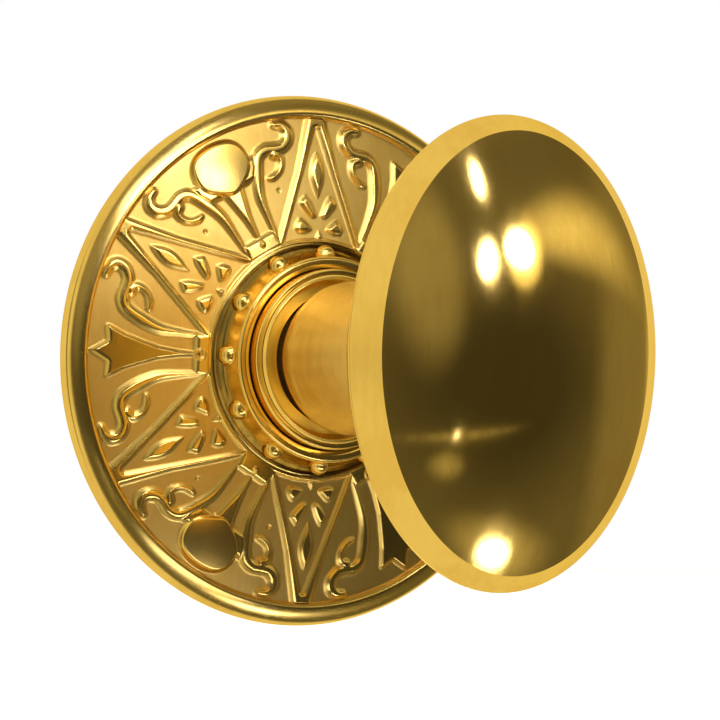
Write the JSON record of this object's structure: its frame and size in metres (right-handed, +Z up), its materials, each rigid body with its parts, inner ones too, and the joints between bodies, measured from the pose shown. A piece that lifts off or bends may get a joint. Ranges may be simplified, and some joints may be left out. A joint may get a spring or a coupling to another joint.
{
  "type": "door knob",
  "caption": "Oval hollow brass door knob on a turned neck, sprung in a round relief rosette, with a square spindle and threaded posts for through bolts.",
  "frame": {"origin": "centre of the rosette's back face, on the door's surface, where the spindle's axis crosses it", "axes": "+Z up, +X to the right as seen from the room, +Y into the door along the spindle; the knob stands out along -Y"},
  "size_m": [0.07, 0.126, 0.07],
  "materials": {
    "cast_brass": "polished high points over slightly darker recesses, clear lacquer",
    "polished_brass": "mirror polished, with faint hairline scratches",
    "turned_brass": "turned and polished",
    "plain_brass": "machined, unpolished",
    "zinc_plated_steel": "bright zinc plate",
    "spring_steel": "oiled dark steel",
    "black_nylon": "satin moulded nylon",
    "white_nylon": "satin moulded nylon"
  },
  "bodies": {
    "rosette": {"rosette_plate": "cast_brass", "hub_ring": "turned_brass", "shank_bushing": "turned_brass", "bearing_liner": "black_nylon", "mounting_plate": "zinc_plated_steel", "rosette_screws": "zinc_plated_steel", "left_post": "plain_brass", "right_post": "plain_brass", "spring_housing": "zinc_plated_steel", "housing_rivets": "zinc_plated_steel", "anchor_pin": "zinc_plated_steel", "stop_pins": "zinc_plated_steel", "return_spring": "spring_steel", "spring_washer": "spring_steel", "thrust_washer": "white_nylon"},
    "knob": {"knob_front": "polished_brass", "knob_back": "polished_brass", "knob_shank": "turned_brass", "shank_nut": "plain_brass", "lock_washer": "spring_steel", "drive_pin": "zinc_plated_steel", "set_screw": "spring_steel", "spindle": "zinc_plated_steel", "drive_cam": "zinc_plated_steel", "retaining_ring": "spring_steel"}
  },
  "joints": [
    {"name": "knob_turn", "type": "hinge", "parent": "rosette", "child": "knob", "pos_m": [0, 0, 0], "axis": [0, -1, 0], "range_deg": [-50, 50], "stiffness_Nm_per_rad": 0.4, "deforming": ["return_spring"]}
  ]
}
